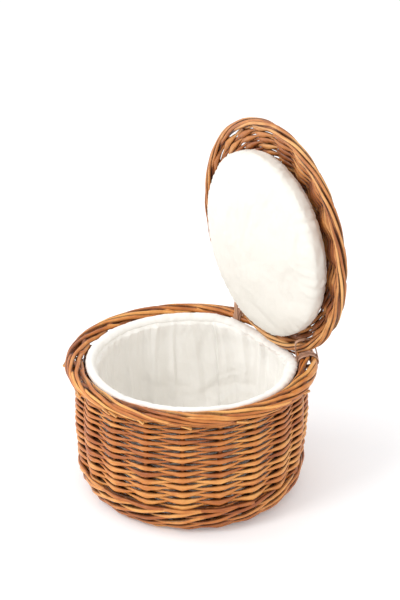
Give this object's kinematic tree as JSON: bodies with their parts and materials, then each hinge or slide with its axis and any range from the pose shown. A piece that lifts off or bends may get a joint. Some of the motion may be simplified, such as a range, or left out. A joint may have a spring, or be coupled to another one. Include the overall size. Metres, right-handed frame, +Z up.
{
  "type": "egg collection basket",
  "caption": "Round woven willow basket with a rolled rim, a hinged domed lid standing open, a white cloth liner and a padded cloth pad inside the lid.",
  "frame": {"origin": "centre of the flat underside of the woven base", "axes": "+Z up, +Y towards the hinge at the back, -Y the front of the basket, +X the right-hand side seen from the front"},
  "size_m": [0.2994, 0.2994, 0.4359],
  "materials": {
    "willow": "varnished buff willow, honey brown, satin",
    "willow_stakes": "varnished willow in shade, red-brown",
    "liner_cotton": "matt white woven cotton",
    "pad_cotton": "matt cream woven cotton over soft filling"
  },
  "bodies": {
    "basket": {"stake_01": "willow_stakes", "stake_02": "willow_stakes", "stake_03": "willow_stakes", "stake_04": "willow_stakes", "stake_05": "willow_stakes", "stake_06": "willow_stakes", "stake_07": "willow_stakes", "stake_08": "willow_stakes", "stake_09": "willow_stakes", "stake_10": "willow_stakes", "stake_11": "willow_stakes", "stake_12": "willow_stakes", "stake_13": "willow_stakes", "stake_14": "willow_stakes", "stake_15": "willow_stakes", "stake_16": "willow_stakes", "stake_17": "willow_stakes", "stake_18": "willow_stakes", "stake_19": "willow_stakes", "stake_20": "willow_stakes", "base_stick_1": "willow_stakes", "base_stick_2": "willow_stakes", "base_stick_3": "willow_stakes", "base_stick_4": "willow_stakes", "base_stick_5": "willow_stakes", "base_stick_6": "willow_stakes", "base_stick_7": "willow_stakes", "base_stick_8": "willow_stakes", "base_weave": "willow", "foot_wale": "willow", "side_weave": "willow", "rolled_border": "willow", "hinge_lashing_left": "willow_stakes", "hinge_lashing_right": "willow_stakes", "liner_bag": "liner_cotton", "liner_hem": "liner_cotton"},
    "lid": {"lid_rib_01": "willow_stakes", "lid_rib_02": "willow_stakes", "lid_rib_03": "willow_stakes", "lid_rib_04": "willow_stakes", "lid_rib_05": "willow_stakes", "lid_rib_06": "willow_stakes", "lid_rib_07": "willow_stakes", "lid_rib_08": "willow_stakes", "lid_rib_09": "willow_stakes", "lid_rib_10": "willow_stakes", "lid_rib_11": "willow_stakes", "lid_rib_12": "willow_stakes", "lid_rib_13": "willow_stakes", "lid_rib_14": "willow_stakes", "lid_rib_15": "willow_stakes", "lid_rib_16": "willow_stakes", "lid_rib_17": "willow_stakes", "lid_rib_18": "willow_stakes", "lid_rib_19": "willow_stakes", "lid_rib_20": "willow_stakes", "lid_border": "willow", "lid_weave": "willow", "lid_pad": "pad_cotton"}
  },
  "joints": [
    {"name": "lid_hinge", "type": "hinge", "parent": "basket", "child": "lid", "pos_m": [0, 0.114, 0.1728], "axis": [1, 0, 0], "range_deg": [0, 87]}
  ]
}
